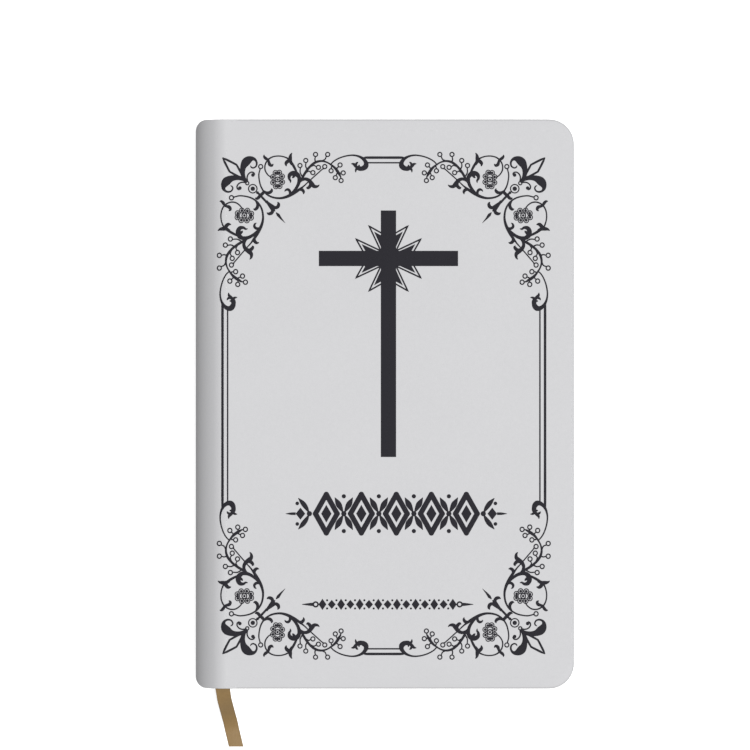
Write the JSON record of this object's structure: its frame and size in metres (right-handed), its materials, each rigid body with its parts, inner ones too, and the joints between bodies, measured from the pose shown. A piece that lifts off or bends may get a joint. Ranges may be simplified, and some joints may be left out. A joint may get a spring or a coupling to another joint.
{
  "type": "bible",
  "caption": "Closed bible with soft leatherette covers, round spine, sewn leaves and a ribbon marker; the covers and the middle of the book open.",
  "frame": {"origin": "middle of the back cover's outer face, which the book lies on", "axes": "+X from the spine to the fore-edge, +Y from tail to head, +Z from the back cover to the front cover"},
  "size_m": [0.144, 0.2408, 0.0321],
  "materials": {
    "leatherette": "fine-grained light grey leatherette, satin",
    "greyboard": "matte",
    "card": "matte",
    "endpaper": "smooth matte paper",
    "lining_paper": "matte",
    "leaves": "thin smooth off-white paper",
    "mull": "open gauze",
    "tape": "plain cotton tape",
    "headband": "striped cotton bead",
    "ribbon": "satin ribbon",
    "print": "charcoal foil print, satin"
  },
  "bodies": {
    "back_leaves": {"back_spine_skin": "leatherette", "back_spine_liner": "card", "back_spine_lining": "lining_paper", "back_mull": "mull", "back_sewing_tapes": "tape", "back_headband": "headband", "back_tailband": "headband", "back_flyleaf": "endpaper", "section_09": "leaves", "section_10": "leaves", "section_11": "leaves", "section_12": "leaves", "section_13": "leaves", "section_14": "leaves", "section_15": "leaves", "section_16": "leaves", "ribbon_marker": "ribbon"},
    "front_leaves": {"front_spine_skin": "leatherette", "front_spine_liner": "card", "front_spine_lining": "lining_paper", "front_mull": "mull", "front_sewing_tapes": "tape", "front_headband": "headband", "front_tailband": "headband", "front_flyleaf": "endpaper", "section_01": "leaves", "section_02": "leaves", "section_03": "leaves", "section_04": "leaves", "section_05": "leaves", "section_06": "leaves", "section_07": "leaves", "section_08": "leaves"},
    "front_cover": {"front_cover_skin": "leatherette", "front_board": "greyboard", "front_infill_card": "card", "front_pastedown": "endpaper", "printed_cross": "print", "printed_rays": "print", "printed_border_rules": "print", "printed_corner_ornaments": "print", "printed_title_ornament": "print", "printed_subtitle_ornament": "print"},
    "back_cover": {"back_cover_skin": "leatherette", "back_board": "greyboard", "back_infill_card": "card", "back_pastedown": "endpaper"},
    "turning_leaf": {"turning_leaf": "leaves"}
  },
  "joints": [
    {"name": "front_cover_hinge", "type": "hinge", "parent": "front_leaves", "child": "front_cover", "pos_m": [-0.063, 0, 0.0323], "axis": [0, -1, 0], "range_deg": [0, 179.9]},
    {"name": "back_cover_hinge", "type": "hinge", "parent": "back_leaves", "child": "back_cover", "pos_m": [-0.063, 0, -0.0022], "axis": [0, 1, 0], "range_deg": [0, 179.9]},
    {"name": "middle_opening", "type": "hinge", "parent": "back_leaves", "child": "front_leaves", "pos_m": [-0.0722, 0, 0.016], "axis": [0, -1, 0], "range_deg": [0, 179.9]},
    {"name": "leaf_turn", "type": "hinge", "parent": "back_leaves", "child": "turning_leaf", "pos_m": [-0.0722, 0, 0.016], "axis": [0, -1, 0], "range_deg": [0, 89.95]}
  ],
  "couplings": [
    {"joint": "leaf_turn", "follows": "middle_opening", "ratio": 0.5}
  ]
}
